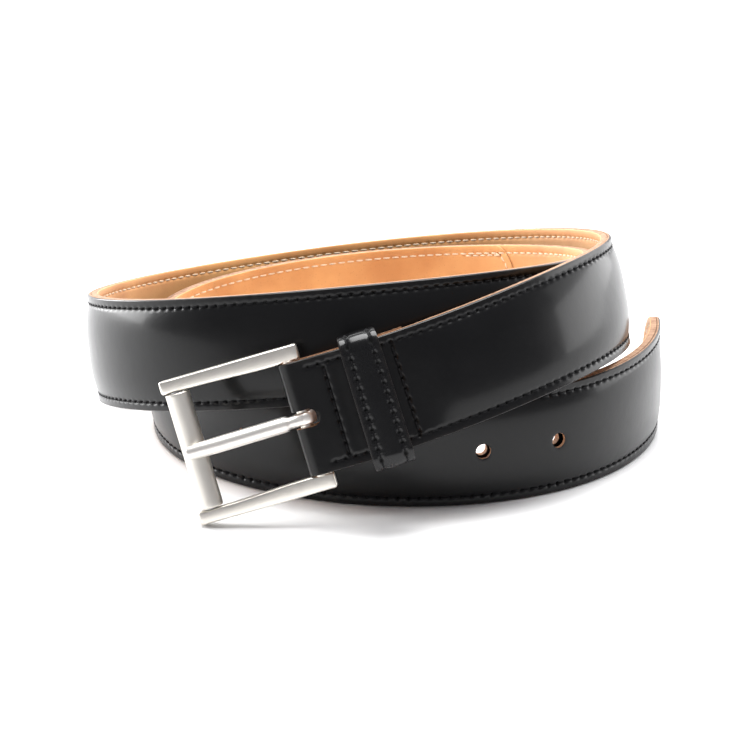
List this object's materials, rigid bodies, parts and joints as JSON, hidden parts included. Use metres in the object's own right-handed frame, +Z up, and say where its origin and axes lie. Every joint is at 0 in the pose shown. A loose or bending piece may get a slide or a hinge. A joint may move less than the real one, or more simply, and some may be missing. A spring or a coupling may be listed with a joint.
{
  "type": "leather belt",
  "caption": "Coiled leather dress belt: padded stitched strap with a roller buckle, a round prong, a sewn keeper and punched holes.",
  "frame": {"origin": "middle of the coiled belt's bounding box, on the surface that its lower edge stands on", "axes": "+Z up across the strap's width, +X to the belt's right with the buckle at the front left, +Y to the back"},
  "size_m": [0.1896, 0.186, 0.071],
  "materials": {
    "face_leather": "black polished calf, high gloss over a padded crown",
    "keeper_leather": "black polished calf",
    "lining_leather": "natural vegetable-tanned leather, smooth and dry",
    "keeper_liner": "thin natural lining leather",
    "filler_felt": "soft pressed filler board",
    "black_thread": "waxed black polyester thread",
    "natural_thread": "waxed natural thread",
    "satin_nickel": "cast zinc with satin nickel plating",
    "roller_nickel": "turned tube with satin nickel plating",
    "prong_nickel": "formed wire with satin nickel plating",
    "steel_pin": "plain drawn steel"
  },
  "bodies": {
    "belt": {"outer_strap": "face_leather", "crown_filler": "filler_felt", "lining_buckle_length": "lining_leather", "lining_tip_length": "lining_leather", "edge_needle_thread": "black_thread", "edge_bobbin_thread": "natural_thread", "lap_thread": "natural_thread", "chape_needle_thread_heel": "black_thread", "chape_bobbin_thread_heel": "black_thread", "chape_needle_thread_keeper": "black_thread", "chape_bobbin_thread_keeper": "black_thread", "keeper_lining": "keeper_liner", "keeper_leather": "keeper_leather", "keeper_thread_left": "black_thread", "keeper_thread_right": "black_thread"},
    "buckle": {"buckle_frame": "satin_nickel", "roller_bar": "steel_pin"},
    "roller": {"roller": "roller_nickel"},
    "prong": {"prong": "prong_nickel"}
  },
  "joints": [
    {"name": "buckle_swing", "type": "hinge", "parent": "belt", "child": "buckle", "pos_m": [-0.02483, -0.07888, 0.0328], "axis": [-0.2767, 0.222, 0.935], "range_deg": [0, 25]},
    {"name": "prong_swing", "type": "hinge", "parent": "buckle", "child": "prong", "pos_m": [-0.02483, -0.07888, 0.0328], "axis": [-0.2767, 0.222, 0.935], "range_deg": [0, 75]},
    {"name": "roller_spin", "type": "hinge", "parent": "buckle", "child": "roller", "pos_m": [-0.05822, -0.07703, 0.02248], "axis": [-0.2767, 0.222, 0.935], "continuous": true}
  ]
}
